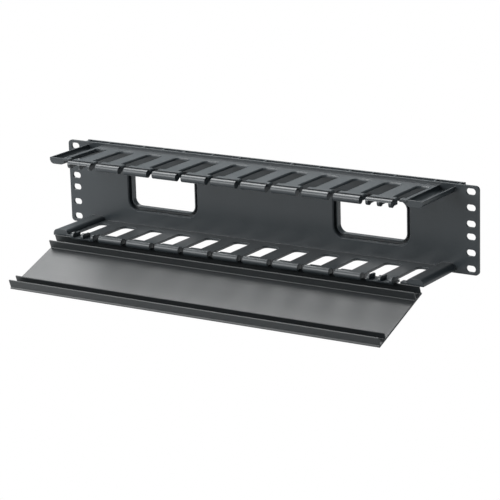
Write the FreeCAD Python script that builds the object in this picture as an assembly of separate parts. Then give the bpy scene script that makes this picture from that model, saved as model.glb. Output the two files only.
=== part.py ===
# Horizontal cable manager, two rack units high: a moulded finger duct and the snap cover that hangs open below it.
# Millimetres. +X to the right, +Y towards the back of the rack, +Z up.
# The origin is the centre of the front face of the panel, midway between the two ears.

import FreeCAD, Part
import math
import os

V = FreeCAD.Vector

# ---- panel and ears ----
PANEL_W = 482.6            # over both ears
PANEL_H = 88.1             # two rack units, less the usual gap
PANEL_T = 2.4
PANEL_R = 4.0              # corner radius in front view
SLOT_X = 232.56            # rack hole columns stand 465.1 apart
SLOT_Z = (6.35, 22.225, 38.1)
SLOT_L = 10.2
SLOT_H = 6.6

# ---- shelves ----
SHELF_Z = 41.3             # outer face, so the panel stands proud of it
SHELF_T = 2.5
SHELF_IN = SHELF_Z - SHELF_T
HEAD_FRONT = -66.5
HEAD_REAR = -60.0
GAP_REAR = -11.5
LAND_X = 195.5

# ---- fingers ----
PITCH = 34.73
FINGERS = 11
STEM_HALF = 8.165
HEAD_HALF = 14.1
HEAD_IN = 36.0             # heads are thickened inwards to here
GAP_R_REAR = 5.0
HEAD_BEVEL = 1.2           # where a head widens from its stem
LIP = 1.0                  # bevel round the upper edges of the top shelf's gaps

# ---- beads on the finger tips ----
BEAD_Y = -71.4
BEAD_Z = 37.4
BEAD_R = 3.8
NECK_TOP = 38.0
NECK_LOW = 34.9
NECK_INSET = 1.0
END_RIB_T = 2.8
END_RIB_STEP = 12.3        # ribs of the two end fingers, from the finger's middle
BAR_LOW = 38.6             # the end fingers' bar is the cap of the bead above this

# ---- gutters at the ends of the shelves ----
GUTTER_X = 207.0
GUTTER_HALF = 7.8          # half the width of the hollow
GUTTER_WALL = 1.5
GUTTER_FLOOR = 36.2
GUTTER_R = 3.4             # rounding between floor and walls
GUTTER_FRONT = -66.0
FOOT_IN = 191.7            # short foot that narrows the last gap to its mouth

# ---- pass-through windows in the panel ----
WINDOW_X = 123.5
RECESS_HALF = (42.6, 23.4)
RECESS_R = 11.0
RECESS_BEVEL = 1.1
GROOVE_FLOOR = 6.0         # a narrow groove runs round the rim of each window
RIM_HALF = (39.9, 21.0)
RIM_WALL = 1.2
RIM_R = 9.2
RIM_FRONT = 2.4
FRAME_BACK = 8.2
FRAME_WALL = 2.0

# ---- ribbed channels behind the panel's long edges ----
CHANNEL_X = 222.0
CHANNEL_BACK = 10.6
CHANNEL_FLOOR = 34.0
CHANNEL_TOP = 44.0
CHANNEL_WALL = 2.0
RIB_T = 2.0
RIB_X = (0.0, 31.0, 63.0, 98.0, 123.0, 148.0, 192.0, 219.0)
BACK_RIB_DEPTH = 5.2
DEEP_RIB_X = 192.0         # these two stiffen the panel beside the windows

# ---- cover, in its own section: S from the hinged edge along the plate, N from the outer face inwards ----
COVER_L = 426.0
COVER_D = 88.6
COVER_T = 1.6
LIP_CHAMFER = 0.6
HINGE_WALL_S = (1.5, 2.7)  # outer wall of the hinged rail, whose rounded tip is the hook
HOOK_N = 9.4               # centre of that tip
HINGE_INNER_N = 9.4
LATCH_WALL_S = (1.2, 2.7)  # outer wall of the rail that snaps over the top beads
LATCH_N = 9.6
LATCH_INNER_N = 7.4
INNER_S = (12.2, 13.7)     # inner wall of either rail
KINK_N = 2.2               # the edge slopes up to here, where the outer wall begins
ROOT_R = 0.8
OPEN_SLOPE = 19.8          # how far the open cover slopes down to the front
HOOK_OPEN = (-67.75, -40.8) # Y and Z of the hooked tip with the cover open


def box(x0, x1, y0, y1, z0, z1):
    return Part.makeBox(x1 - x0, y1 - y0, z1 - z0, V(x0, y0, z0))


def arc(centre, radius, a0, a1, place):
    """Arc in a plane: place turns two plane coordinates into a point."""
    mid = (a0 + a1) / 2.0
    pts = []
    for a in (a0, mid, a1):
        t = math.radians(a)
        pts.append(place(centre[0] + radius * math.cos(t), centre[1] + radius * math.sin(t)))
    return Part.Arc(pts[0], pts[1], pts[2]).toShape()


def joined(arcs):
    """One closed wire from arcs in order, with straight edges between their ends."""
    edges = []
    for i, one in enumerate(arcs):
        nxt = arcs[(i + 1) % len(arcs)]
        edges.append(one)
        a = one.lastVertex(True).Point
        b = nxt.firstVertex(True).Point
        if a.distanceToPoint(b) > 1e-6:
            edges.append(Part.makeLine(a, b))
    return Part.Wire(edges)


def rounded_slab(cx, cz, half_x, half_z, radius, y0, y1):
    """Rounded rectangle in front view, pushed from y0 to y1."""
    def place(a, b):
        return V(cx + a, y0, cz + b)
    x = half_x - radius
    z = half_z - radius
    arcs = [
        arc((x, z), radius, 0, 90, place),
        arc((-x, z), radius, 90, 180, place),
        arc((-x, -z), radius, 180, 270, place),
        arc((x, -z), radius, 270, 360, place),
    ]
    return Part.Face(joined(arcs)).extrude(V(0, y1 - y0, 0))


def gap_void(left, slot_left, slot_right, right):
    """What is cut between two fingers: a wide gap that narrows between the heads and opens to the front."""
    z0 = SHELF_IN - 8.0
    front = BEAD_Y - 2.0 * BEAD_R
    def place(a, b):
        return V(a, b, z0)
    arcs = [
        arc((right - GAP_R_REAR, GAP_REAR - GAP_R_REAR), GAP_R_REAR, 0, 90, place),
        arc((left + GAP_R_REAR, GAP_REAR - GAP_R_REAR), GAP_R_REAR, 90, 180, place),
        Part.makeLine(place(left, HEAD_REAR + HEAD_BEVEL), place(left + HEAD_BEVEL, HEAD_REAR)),
        Part.makeLine(place(slot_left, HEAD_REAR), place(slot_left, front)),
        Part.makeLine(place(slot_right, front), place(slot_right, HEAD_REAR)),
        Part.makeLine(place(right - HEAD_BEVEL, HEAD_REAR), place(right, HEAD_REAR + HEAD_BEVEL)),
    ]
    return Part.Face(joined(arcs)).extrude(V(0, 0, 20.0))


def rod(x0, x1, y, z, radius):
    return Part.makeCylinder(radius, x1 - x0, V(x0, y, z), V(1, 0, 0))


def bead(xc):
    """Full-width bead of one finger, with the neck that joins it to the head."""
    whole = rod(xc - HEAD_HALF, xc + HEAD_HALF, BEAD_Y, BEAD_Z, BEAD_R)
    neck = box(xc - HEAD_HALF + NECK_INSET, xc + HEAD_HALF - NECK_INSET, BEAD_Y, HEAD_FRONT + 0.5, NECK_LOW, NECK_TOP)
    return whole.fuse(neck)


def end_finger_tip(xc):
    """Tip of an end finger: the bead's outer cap as a thin bar, carried by three ribs of the bead's outline."""
    cap = rod(xc - HEAD_HALF, xc + HEAD_HALF, BEAD_Y, BEAD_Z, BEAD_R)
    above = box(xc - HEAD_HALF, xc + HEAD_HALF, BEAD_Y - BEAD_R, BEAD_Y + BEAD_R, BAR_LOW, SHELF_Z)
    pieces = [cap.common(above)]
    for step in (-END_RIB_STEP, 0.0, END_RIB_STEP):
        x0 = xc + step - END_RIB_T / 2.0
        x1 = xc + step + END_RIB_T / 2.0
        disc = rod(x0, x1, BEAD_Y, BEAD_Z, BEAD_R)
        web = box(x0, x1, BEAD_Y, HEAD_REAR - 2.0, NECK_LOW, NECK_TOP)
        hold = box(x0, x1, HEAD_FRONT, HEAD_REAR - 2.0, NECK_LOW, SHELF_IN + 0.5)
        pieces.append(disc.fuse([web, hold]))
    return pieces


def finger_x():
    first = -(FINGERS - 1) / 2.0
    return [(first + i) * PITCH for i in range(FINGERS)]


def shelf_plate(bevelled):
    """Plate of the top shelf with every finger gap cut out; its gaps' upper edges are bevelled where wanted."""
    plate = box(-LAND_X - 4.0, LAND_X + 4.0, HEAD_FRONT, 0.5, SHELF_IN, SHELF_Z)
    xs = finger_x()
    voids = []
    for a, b in zip(xs[:-1], xs[1:]):
        voids.append(gap_void(a + STEM_HALF, a + HEAD_HALF, b - HEAD_HALF, b - STEM_HALF))
    last = xs[-1]
    voids.append(gap_void(last + STEM_HALF, last + HEAD_HALF, FOOT_IN, LAND_X))
    voids.append(gap_void(-LAND_X, -FOOT_IN, -last - HEAD_HALF, -last - STEM_HALF))
    plate = plate.cut(voids)
    if not bevelled:
        return plate
    rims = []
    for e in plate.Edges:
        c = e.BoundBox
        flat = abs(c.ZMin - SHELF_Z) < 1e-4 and abs(c.ZMax - SHELF_Z) < 1e-4
        inside = c.YMin > HEAD_FRONT - 0.01 and c.YMax < GAP_REAR + 0.01
        front = abs(c.YMax - HEAD_FRONT) < 1e-4
        if flat and inside and not front and max(abs(c.XMin), abs(c.XMax)) < LAND_X + 0.01:
            rims.append(e)
    return plate.makeChamfer(LIP, rims)


def trough(xc, half, bottom, top, radius, y0, y1):
    """Bar along Y with a flat bottom and rounded lower corners."""
    def place(a, b):
        return V(xc + a, y0, b)
    arcs = [
        arc((-half + radius, bottom + radius), radius, 180, 270, place),
        arc((half - radius, bottom + radius), radius, 270, 360, place),
        Part.makeLine(place(half, top), place(-half, top)),
    ]
    return Part.Face(joined(arcs)).extrude(V(0, y1 - y0, 0))


def gutter(side):
    """Open gutter at one end of the top shelf, closed by a flat wall in front: solids and hollow."""
    x = side * GUTTER_X
    half = GUTTER_HALF + GUTTER_WALL
    shell = trough(x, half, GUTTER_FLOOR - GUTTER_WALL, SHELF_Z, GUTTER_R + GUTTER_WALL, GUTTER_FRONT, 0.5)
    hollow = trough(x, GUTTER_HALF, GUTTER_FLOOR, SHELF_Z + 1.0, GUTTER_R, GUTTER_FRONT + GUTTER_WALL, 0.0)
    inner = side * (GUTTER_X - half + 0.5)
    foot = sorted((side * FOOT_IN, inner))
    land = sorted((side * LAND_X, inner))
    foot = box(foot[0], foot[1], GUTTER_FRONT, HEAD_REAR, SHELF_IN, SHELF_Z)
    land = box(land[0], land[1], GUTTER_FRONT, 0.5, SHELF_IN, SHELF_Z)
    return [shell, foot, land], hollow


def top_half(bevelled):
    """Top shelf with its fingers, beads and gutters, and the ribbed channel behind the panel's top edge."""
    solids = [shelf_plate(bevelled)]
    hollows = []
    xs = finger_x()
    for xc in xs[1:-1]:
        solids.append(box(xc - HEAD_HALF, xc + HEAD_HALF, HEAD_FRONT, HEAD_REAR, HEAD_IN, SHELF_IN + 0.5))
        solids.append(bead(xc))
    for xc in (xs[0], xs[-1]):
        solids.extend(end_finger_tip(xc))
    for side in (-1, 1):
        parts, hollow = gutter(side)
        solids.extend(parts)
        hollows.append(hollow)
    y0 = PANEL_T - 0.5
    floor_top = CHANNEL_FLOOR + CHANNEL_WALL
    solids.append(box(-CHANNEL_X, CHANNEL_X, y0, CHANNEL_BACK, CHANNEL_FLOOR, floor_top))
    solids.append(box(-CHANNEL_X, CHANNEL_X, CHANNEL_BACK - CHANNEL_WALL, CHANNEL_BACK, CHANNEL_FLOOR, CHANNEL_TOP))
    for x in RIB_X:
        for side in ((-1, 1) if x else (1,)):
            mid = side * x
            solids.append(box(mid - RIB_T / 2, mid + RIB_T / 2, y0, CHANNEL_BACK, CHANNEL_FLOOR, CHANNEL_TOP))
            depth = CHANNEL_BACK if x == DEEP_RIB_X else BACK_RIB_DEPTH
            solids.append(box(mid - RIB_T / 2, mid + RIB_T / 2, y0, depth, -0.5, CHANNEL_FLOOR + 0.5))
    shape = solids[0].multiFuse(solids[1:])
    return shape.cut(hollows)


def recess_void(xc):
    """Rounded recess round one window, bevelled where it meets the panel's front."""
    w, h = RECESS_HALF
    deep = rounded_slab(xc, 0, w, h, RECESS_R, -1.0, GROOVE_FLOOR)
    b = RECESS_BEVEL
    flare = rounded_slab(xc, 0, w + b, h + b, RECESS_R + b, -1.0, b)
    back = [e for e in flare.Edges if abs(e.BoundBox.YMin - b) < 1e-4]
    return deep.fuse(flare.makeChamfer(b - 0.001, back))


def finger_duct_body():
    panel = rounded_slab(0, 0, PANEL_W / 2, PANEL_H / 2, PANEL_R, 0, PANEL_T)
    frames = []
    recesses = []
    rims = []
    holes = []
    for side in (-1, 1):
        x = side * WINDOW_X
        w, h = RECESS_HALF
        frames.append(rounded_slab(x, 0, w + FRAME_WALL, h + FRAME_WALL, RECESS_R + FRAME_WALL, 0.5, FRAME_BACK))
        recesses.append(recess_void(x))
        w, h = RIM_HALF
        rims.append(rounded_slab(x, 0, w, h, RIM_R, RIM_FRONT, FRAME_BACK))
        holes.append(rounded_slab(x, 0, w - RIM_WALL, h - RIM_WALL, RIM_R - RIM_WALL, -1.0, FRAME_BACK + 1.0))
        for z in SLOT_Z:
            for up in (-1, 1):
                holes.append(rounded_slab(side * SLOT_X, up * z, SLOT_L / 2, SLOT_H / 2, SLOT_H / 2 - 0.01,
                                          -1.0, PANEL_T + 1.0))
    top = top_half(True)
    bottom = top_half(False).mirror(V(0, 0, 0), V(0, 0, 1))
    body = panel.multiFuse(frames + [top, bottom]).cut(recesses)
    return body.multiFuse(rims).cut(holes).removeSplitter()


def rail_arcs(place, wall, wall_n, inner_n):
    """Section of one half of the cover, from the plate's edge up over both rail walls, as arcs in order."""
    wall_mid = (wall[0] + wall[1]) / 2.0
    wall_r = (wall[1] - wall[0]) / 2.0
    inner_mid = (INNER_S[0] + INNER_S[1]) / 2.0
    inner_r = (INNER_S[1] - INNER_S[0]) / 2.0
    root = COVER_T + ROOT_R
    return [
        Part.makeLine(place(LIP_CHAMFER, 0), place(0, LIP_CHAMFER)),
        Part.makeLine(place(0, COVER_T - LIP_CHAMFER / 2), place(wall[0], KINK_N)),
        arc((wall_mid, wall_n), wall_r, 180, 0, place),
        arc((wall[1] + ROOT_R, root), ROOT_R, 180, 270, place),
        arc((INNER_S[0] - ROOT_R, root), ROOT_R, 270, 360, place),
        arc((inner_mid, inner_n), inner_r, 180, 0, place),
        arc((INNER_S[1] + ROOT_R, root), ROOT_R, 180, 270, place),
    ]


def snap_cover():
    """Cover: one section pushed along X, placed open with its hook in the groove of the bottom beads."""
    slope = math.radians(OPEN_SLOPE)
    along = V(0, -math.cos(slope), -math.sin(slope))
    inward = V(0, -math.sin(slope), math.cos(slope))
    hook = V(-COVER_L / 2, HOOK_OPEN[0], HOOK_OPEN[1])
    corner = hook - along * (sum(HINGE_WALL_S) / 2.0) - inward * HOOK_N
    def place(s, n):
        return corner + along * s + inward * n
    def far(s, n):
        return place(COVER_D - s, n)
    near = rail_arcs(place, HINGE_WALL_S, HOOK_N, HINGE_INNER_N)
    back = []
    for e in reversed(rail_arcs(far, LATCH_WALL_S, LATCH_N, LATCH_INNER_N)):
        a = e.firstVertex(True).Point
        b = e.lastVertex(True).Point
        if e.Curve.TypeId == "Part::GeomLine":
            back.append(Part.makeLine(b, a))
        else:
            mid = e.valueAt((e.FirstParameter + e.LastParameter) / 2.0)
            back.append(Part.Arc(b, mid, a).toShape())
    return Part.Face(joined(near + back)).extrude(V(COVER_L, 0, 0))


os.makedirs("parts", exist_ok=True)
for name, shape in (("finger_duct_body", finger_duct_body()), ("snap_cover", snap_cover())):
    print(name, shape.isValid(), len(shape.Solids), len(shape.Faces), round(shape.Volume, 1))
    solid = shape.Solids[0] if len(shape.Solids) == 1 else shape
    solid.exportStep("parts/" + name + ".step")
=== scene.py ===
# Horizontal cable manager for a server rack: finishes, studio and camera for the finger duct and its
# hinged cover.

import bpy
from mathutils import Matrix, Vector

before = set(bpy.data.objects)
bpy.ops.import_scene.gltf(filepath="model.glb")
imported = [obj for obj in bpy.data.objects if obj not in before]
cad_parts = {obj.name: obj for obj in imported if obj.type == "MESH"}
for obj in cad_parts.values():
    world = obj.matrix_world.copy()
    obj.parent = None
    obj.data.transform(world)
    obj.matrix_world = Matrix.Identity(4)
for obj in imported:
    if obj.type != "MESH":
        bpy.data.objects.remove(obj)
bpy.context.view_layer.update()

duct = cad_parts["finger_duct_body"]
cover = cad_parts["snap_cover"]

MM = 0.001


# ---------------------------------------------------------------- shader sums

class Wire:
    """A shader socket that can be used in plain sums."""

    def __init__(self, tree, socket):
        self.tree = tree
        self.socket = socket

    def maths(self, operation, a, b):
        return self.tree.node("ShaderNodeMath", {"operation": operation}, {0: a, 1: b})

    def __add__(self, other):
        return self.maths("ADD", self, other)

    def __radd__(self, other):
        return self.maths("ADD", other, self)

    def __sub__(self, other):
        return self.maths("SUBTRACT", self, other)

    def __rsub__(self, other):
        return self.maths("SUBTRACT", other, self)

    def __mul__(self, other):
        return self.maths("MULTIPLY", self, other)

    def __rmul__(self, other):
        return self.maths("MULTIPLY", other, self)

    def size(self):
        """Without its sign."""
        return self.maths("ABSOLUTE", self, 0.0)

    def held(self):
        """Kept between 0 and 1."""
        return self.maths("MINIMUM", self.maths("MAXIMUM", self, 0.0), 1.0)

    def beside(self, name):
        """Another output of the same node."""
        return Wire(self.tree, self.socket.node.outputs[name])


class Tree:
    """Node tree of one material or of the world."""

    def __init__(self, owner):
        owner.use_nodes = True
        self.nodes = owner.node_tree.nodes
        self.links = owner.node_tree.links
        self.nodes.clear()

    def node(self, kind, settings=None, values=None, out=0):
        """Adds a node: its settings, then the values or links of its sockets. Gives the output asked for."""
        made = self.nodes.new(kind)
        for key, value in (settings or {}).items():
            setattr(made, key, value)
        for key, value in (values or {}).items():
            if isinstance(value, Wire):
                self.links.new(value.socket, made.inputs[key])
            else:
                made.inputs[key].default_value = value
        return Wire(self, made.outputs[out]) if len(made.outputs) else None


# Sockets that are picked by their number.
OBJECT_COORDINATES = 3
COLOUR_A = 6
COLOUR_B = 7
COLOUR_RESULT = 2
IS_CAMERA_RAY = 0


def opaque(colour):
    """A colour with full alpha."""
    return (*colour, 1.0)


def grey(level):
    return (level, level, level, 1.0)


# ---------------------------------------------------------------- finishes

DUCT_COLOUR = (0.0270, 0.0330, 0.0372)
DUCT_ROUGHNESS = 0.31
DUCT_GRAIN = 900.0                # noise scale of the mould grain: higher is finer
DUCT_GRAIN_DEPTH = 0.06 * MM
COVER_COLOUR = (0.015, 0.0175, 0.019)
COVER_ROUGHNESS = 0.34
COVER_GRAIN = 1100.0
COVER_GRAIN_DEPTH = 0.04 * MM

# What both plastics share.
IOR = 1.5
EDGE_RADIUS = 0.5 * MM            # sharp edges look rounded to this radius
EDGE_SAMPLES = 6
BUMP_STRENGTH = 0.35
GRAIN_DETAIL = 3.0
CLOUD = 55.0                      # noise scale of the slow change in gloss and colour
CLOUD_DETAIL = 2.0
CLOUD_IN_GLOSS = 0.10
GRAIN_IN_GLOSS = 0.06
COLOUR_SPREAD = 0.14              # share by which the colour goes lighter and darker

# The cover's streaks. They run along X, where the noise changes slowest.
STREAK = (4.0, 900.0, 900.0)
STREAK_DETAIL = 4.0
STREAK_IN_GLOSS = 0.08
GRAIN_IN_HEIGHT = 0.7
STREAK_IN_HEIGHT = 0.8

# Painted shade: a dark band painted into the groove behind each bead and over the bead's crest, where the
# groove lies in shade. The band is also made duller.
SHADE_BAND_Y = -70.5 * MM               # its middle
SHADE_BAND_HALF_WIDTH = 2.1 * MM
SHADE_BAND_FADE = 0.4                   # share of the half width over which it fades out
SHADE_BAND_START = 39.0 * MM            # it lies farther than this above or below the panel's middle
SHADE_BAND_RISE = 0.25 * MM             # height over which it comes in
PAINTED_SHADE_COLOUR = (0.002, 0.0024, 0.0028)
SHADE_BAND_COVERS = 0.8                 # share of the plastic's colour that it hides
SHADE_BAND_DULLS = 0.5                  # what it adds to the roughness


def noise(tree, place, scale, detail):
    return tree.node("ShaderNodeTexNoise", {}, {"Vector": place, "Scale": scale, "Detail": detail})


def blend(tree, factor, a, b):
    """Colour a where the factor is 0 and colour b where it is 1."""
    values = {"Factor": factor, COLOUR_A: a, COLOUR_B: b}
    return tree.node("ShaderNodeMix", {"data_type": "RGBA"}, values, out=COLOUR_RESULT)


class Plastic:
    """Satin plastic with a fine mould grain, faint cloudiness and softly rounded edges."""

    def __init__(self, name, colour, roughness, grain_scale):
        self.material = bpy.data.materials.new(name)
        self.tree = Tree(self.material)
        self.place = self.tree.node("ShaderNodeTexCoord", out=OBJECT_COORDINATES)
        self.grain = noise(self.tree, self.place, grain_scale, GRAIN_DETAIL)
        cloud = noise(self.tree, self.place, CLOUD, CLOUD_DETAIL)
        # Noise averages about a half, so this much comes off to keep the mean at the given roughness.
        middle = (CLOUD_IN_GLOSS + GRAIN_IN_GLOSS) / 2.0
        self.gloss = cloud * CLOUD_IN_GLOSS + self.grain * GRAIN_IN_GLOSS + (roughness - middle)
        self.height = self.grain
        darker = opaque([c * (1.0 - COLOUR_SPREAD) for c in colour])
        lighter = opaque([c * (1.0 + COLOUR_SPREAD) for c in colour])
        self.tint = blend(self.tree, cloud * 0.5 + self.grain * 0.5, darker, lighter)

    def finish(self, grain_depth):
        """Joins tint, gloss and height to the shader and gives the finished material."""
        edge = self.tree.node("ShaderNodeBevel", {"samples": EDGE_SAMPLES}, {"Radius": EDGE_RADIUS})
        bump = self.tree.node("ShaderNodeBump", {}, {
            "Height": self.height, "Strength": BUMP_STRENGTH, "Distance": grain_depth, "Normal": edge})
        shader = self.tree.node("ShaderNodeBsdfPrincipled", {}, {
            "Base Color": self.tint, "Roughness": self.gloss, "Normal": bump, "IOR": IOR})
        self.tree.node("ShaderNodeOutputMaterial", {}, {"Surface": shader})
        return self.material


def moulded_black():
    """The duct's plastic, with shade painted as a dark, duller band in the groove behind each bead and over
    the bead's crest.
    """
    plastic = Plastic("moulded_black", DUCT_COLOUR, DUCT_ROUGHNESS, DUCT_GRAIN)
    apart = plastic.tree.node("ShaderNodeSeparateXYZ", {}, {"Vector": plastic.place})
    inside = 1.0 - (apart.beside("Y") - SHADE_BAND_Y).size() * (1.0 / SHADE_BAND_HALF_WIDTH)
    beyond = apart.beside("Z").size() - SHADE_BAND_START
    painted_shade = (inside * (1.0 / SHADE_BAND_FADE)).held() * (beyond * (1.0 / SHADE_BAND_RISE)).held()
    # Paints the groove's shade over the plastic's colour along each bead.
    plastic.tint = blend(plastic.tree, painted_shade * SHADE_BAND_COVERS, plastic.tint, opaque(PAINTED_SHADE_COLOUR))
    plastic.gloss = plastic.gloss + painted_shade * SHADE_BAND_DULLS
    return plastic.finish(DUCT_GRAIN_DEPTH)


def cover_black():
    """The cover's plastic, with faint streaks along its length."""
    plastic = Plastic("cover_black", COVER_COLOUR, COVER_ROUGHNESS, COVER_GRAIN)
    stretched = plastic.tree.node("ShaderNodeMapping", {}, {"Vector": plastic.place, "Scale": STREAK})
    lines = noise(plastic.tree, stretched, 1.0, STREAK_DETAIL)
    plastic.gloss = plastic.gloss + lines * STREAK_IN_GLOSS
    plastic.height = plastic.grain * GRAIN_IN_HEIGHT + lines * STREAK_IN_HEIGHT
    return plastic.finish(COVER_GRAIN_DEPTH)


def dress(node, material):
    """Puts the material in every slot of the piece."""
    for slot in node.material_slots:
        slot.material = material


dress(duct, moulded_black())
dress(cover, cover_black())


# ---------------------------------------------------------------- studio

FLOOR_Z = -150 * MM
FLOOR_WIDTH = 30.0
FLOOR_GREY = 0.62
AIR_COLOUR = (0.84, 0.95, 1.0)
AIR_STRENGTH = 0.30


def white_to_camera(tree, real, white, output):
    """Plain white to the camera, and the real surface to every other ray."""
    seen = tree.node("ShaderNodeLightPath", out=IS_CAMERA_RAY)
    both = tree.node("ShaderNodeMixShader", {}, {0: seen, 1: real, 2: white})
    tree.node(output, {}, {"Surface": both})


def lay_floor():
    bpy.ops.object.select_all(action="DESELECT")
    bpy.ops.mesh.primitive_plane_add(size=FLOOR_WIDTH, location=(0, 0, FLOOR_Z))
    floor = bpy.context.object
    floor.name = "studio_floor"
    paper = bpy.data.materials.new("pale_floor")
    tree = Tree(paper)
    pale = tree.node("ShaderNodeBsdfDiffuse", {}, {"Color": grey(FLOOR_GREY)})
    white = tree.node("ShaderNodeEmission", {}, {"Color": grey(1.0), "Strength": 1.0})
    white_to_camera(tree, pale, white, "ShaderNodeOutputMaterial")
    floor.data.materials.append(paper)


def fill_world():
    world = bpy.data.worlds.new("studio")
    bpy.context.scene.world = world
    tree = Tree(world)
    air = tree.node("ShaderNodeBackground", {}, {"Color": opaque(AIR_COLOUR), "Strength": AIR_STRENGTH})
    white = tree.node("ShaderNodeBackground", {}, {"Color": grey(1.0), "Strength": 1.0})
    white_to_camera(tree, air, white, "ShaderNodeOutputWorld")


def softbox(name, centre, target, width, height, watts):
    """Rectangular soft lamp that faces its target."""
    lamp = bpy.data.lights.new(name, "AREA")
    lamp.shape = "RECTANGLE"
    lamp.size = width
    lamp.size_y = height
    lamp.energy = watts
    box = bpy.data.objects.new(name, lamp)
    bpy.context.scene.collection.objects.link(box)
    box.location = centre
    box.rotation_mode = "QUATERNION"
    box.rotation_quaternion = (Vector(target) - Vector(centre)).to_track_quat("-Z", "Y")


lay_floor()
fill_world()
softbox("top_back_box", centre=(-1.2, 0.95, 1.65), target=(0, 0, 0), width=2.1, height=1.3, watts=39)
softbox("front_left_box", centre=(-1.25, -1.75, 0.92), target=(0, -0.05, 0), width=2.3, height=1.4, watts=54)
softbox("overhead_box", centre=(-0.85, 0.25, 1.95), target=(0, 0, 0), width=1.8, height=1.0, watts=29)


# ---------------------------------------------------------------- camera

# Places and distances are in metres, and the two directions are the camera's own right and up.
EYE = (1.1836, -1.8818, 0.5578)
CAMERA_RIGHT = (0.8468, 0.5319, -0.0269)
CAMERA_UP = (-0.1178, 0.2363, 0.9649)
LENS_MM = 163.95
SENSOR_MM = 36.0
NEAREST = 0.05
FARTHEST = 60.0


def place_camera():
    lens = bpy.data.cameras.new("camera")
    lens.lens = LENS_MM
    lens.sensor_width = SENSOR_MM
    lens.clip_start = NEAREST
    lens.clip_end = FARTHEST
    camera = bpy.data.objects.new("camera", lens)
    bpy.context.scene.collection.objects.link(camera)
    bpy.context.scene.camera = camera
    right = Vector(CAMERA_RIGHT).normalized()
    back = right.cross(Vector(CAMERA_UP)).normalized()
    up = back.cross(right)
    camera.rotation_mode = "QUATERNION"
    camera.rotation_quaternion = Matrix((right, up, back)).transposed().to_quaternion()
    camera.location = EYE


place_camera()
bpy.context.scene.view_settings.view_transform = "Standard"
